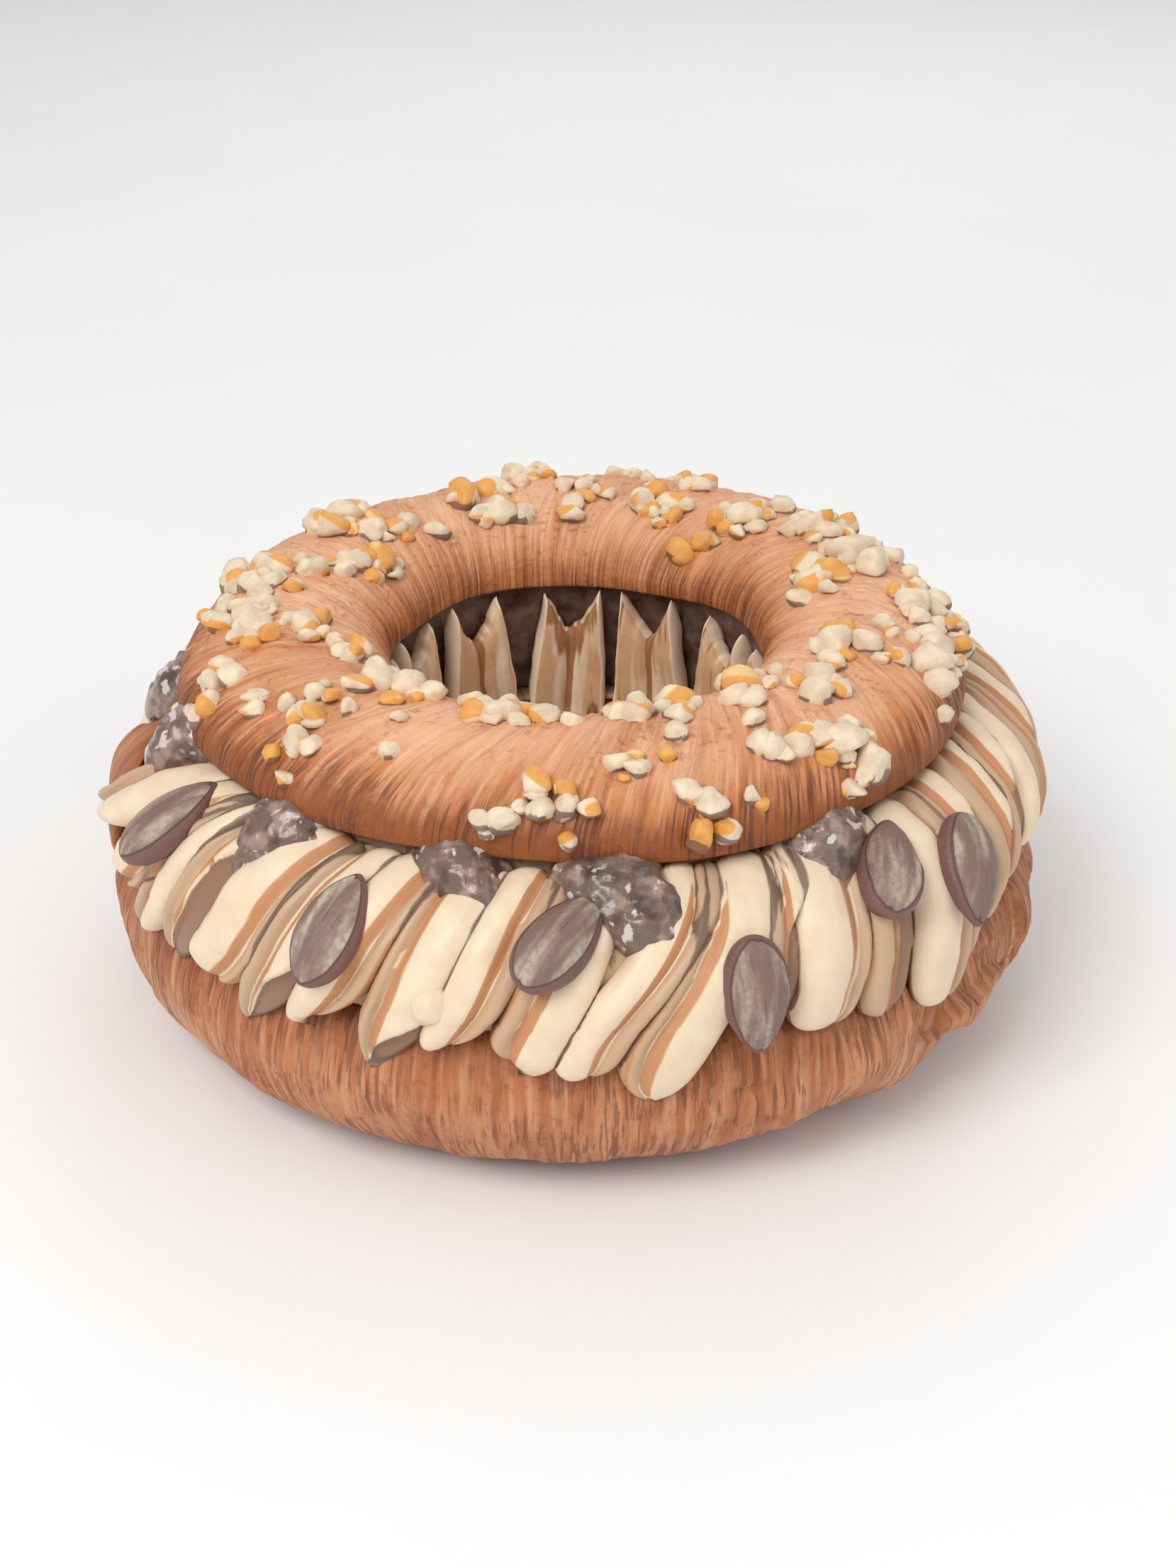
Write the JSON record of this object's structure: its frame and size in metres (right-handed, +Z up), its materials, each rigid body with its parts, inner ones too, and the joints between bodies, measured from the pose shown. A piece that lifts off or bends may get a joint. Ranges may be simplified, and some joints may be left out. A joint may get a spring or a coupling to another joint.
{
  "type": "paris-brest pastry",
  "caption": "Ring of choux pastry cut in two and filled with piped praline cream, dark praline and whole almonds under a nut-strewn lid.",
  "frame": {"origin": "on the ground, at the middle of the ring", "axes": "+Z up through the hole, -Y towards the front"},
  "size_m": [0.2111, 0.2174, 0.0933],
  "materials": {
    "base_crust": "satin",
    "lid_crust": "satin",
    "cream": "satin",
    "praline": "gloss",
    "almond": "matte",
    "nuts": "matte"
  },
  "bodies": {
    "root": {"base_choux": "base_crust", "cream": "cream", "praline": "praline", "lid_choux": "lid_crust", "almond_01": "almond", "almond_02": "almond", "almond_03": "almond", "almond_04": "almond", "almond_05": "almond", "almond_06": "almond", "almond_07": "almond", "almond_08": "almond", "almond_09": "almond", "almond_10": "almond", "almond_11": "almond"}
  },
  "joints": []
}
